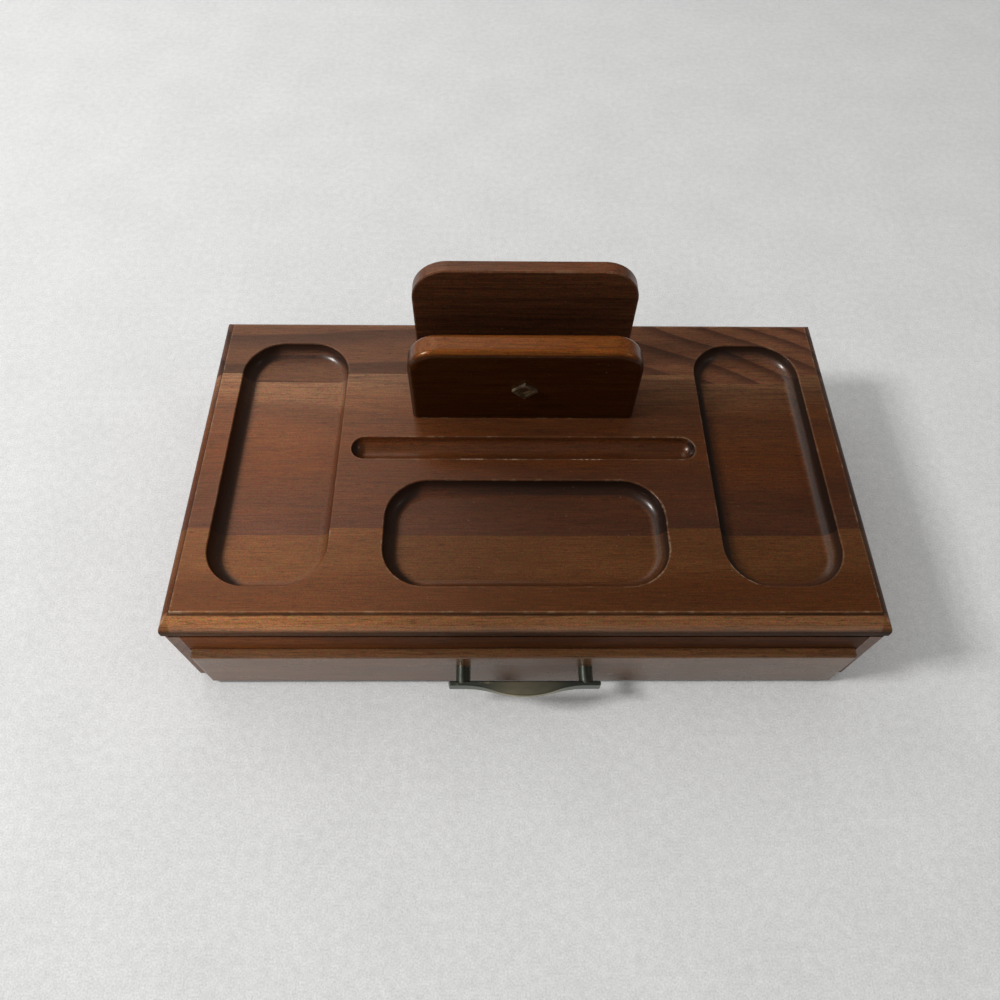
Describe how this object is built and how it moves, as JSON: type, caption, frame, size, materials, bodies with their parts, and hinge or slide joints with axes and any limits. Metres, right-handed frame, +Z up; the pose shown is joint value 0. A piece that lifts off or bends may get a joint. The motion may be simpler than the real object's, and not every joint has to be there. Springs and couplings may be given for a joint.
{
  "type": "valet box",
  "caption": "Wooden valet box with a moulded top, dished trays, a pen groove, an upright letter rack and a shallow front drawer with a bow pull.",
  "frame": {"origin": "centre of the case's base, on the surface that it stands on", "axes": "+Z up; -Y towards the drawer front and its pull; +X to the right, seen from the front"},
  "size_m": [0.312, 0.1909, 0.127],
  "materials": {
    "front_board_wood": "waxed walnut brown",
    "middle_board_wood": "waxed reddish walnut brown",
    "rear_board_wood": "waxed dark walnut brown",
    "side_panel_wood": "satin dark brown",
    "rail_wood": "satin, nearly black brown",
    "back_panel_wood": "matt dark brown",
    "plain_wood": "bare light wood",
    "screw_steel": "zinc plated",
    "base_felt": "dark green felt",
    "rack_front_wood": "waxed walnut brown",
    "rack_rear_wood": "waxed dark reddish brown",
    "boss_brass": "aged brass",
    "drawer_front_wood": "satin walnut brown",
    "drawer_box_wood": "bare light wood",
    "liner_felt": "dark green felt",
    "pull_brass": "dark antique brass"
  },
  "bodies": {
    "case": {"top_front_board": "front_board_wood", "top_middle_board": "middle_board_wood", "top_rear_board": "rear_board_wood", "side_panel_left": "side_panel_wood", "side_panel_right": "side_panel_wood", "front_rail": "rail_wood", "back_panel": "back_panel_wood", "bottom_panel": "plain_wood", "kicker_strip_left": "plain_wood", "kicker_strip_right": "plain_wood", "kicker_screws": "screw_steel", "drawer_guide_left": "plain_wood", "drawer_guide_right": "plain_wood", "stop_blocks": "plain_wood", "felt_base": "base_felt", "rack_front_board": "rack_front_wood", "rack_rear_board": "rack_rear_wood", "rack_screws": "screw_steel", "rack_boss": "boss_brass"},
    "drawer": {"drawer_front": "drawer_front_wood", "drawer_side_left": "drawer_box_wood", "drawer_side_right": "drawer_box_wood", "drawer_back": "drawer_box_wood", "drawer_bottom": "drawer_box_wood", "drawer_liner": "liner_felt", "drawer_pull": "pull_brass", "pull_screws": "screw_steel"}
  },
  "joints": [
    {"name": "drawer_slide", "type": "slide", "parent": "case", "child": "drawer", "axis": [0, -1, 0], "range_m": [0, 0.11]}
  ]
}
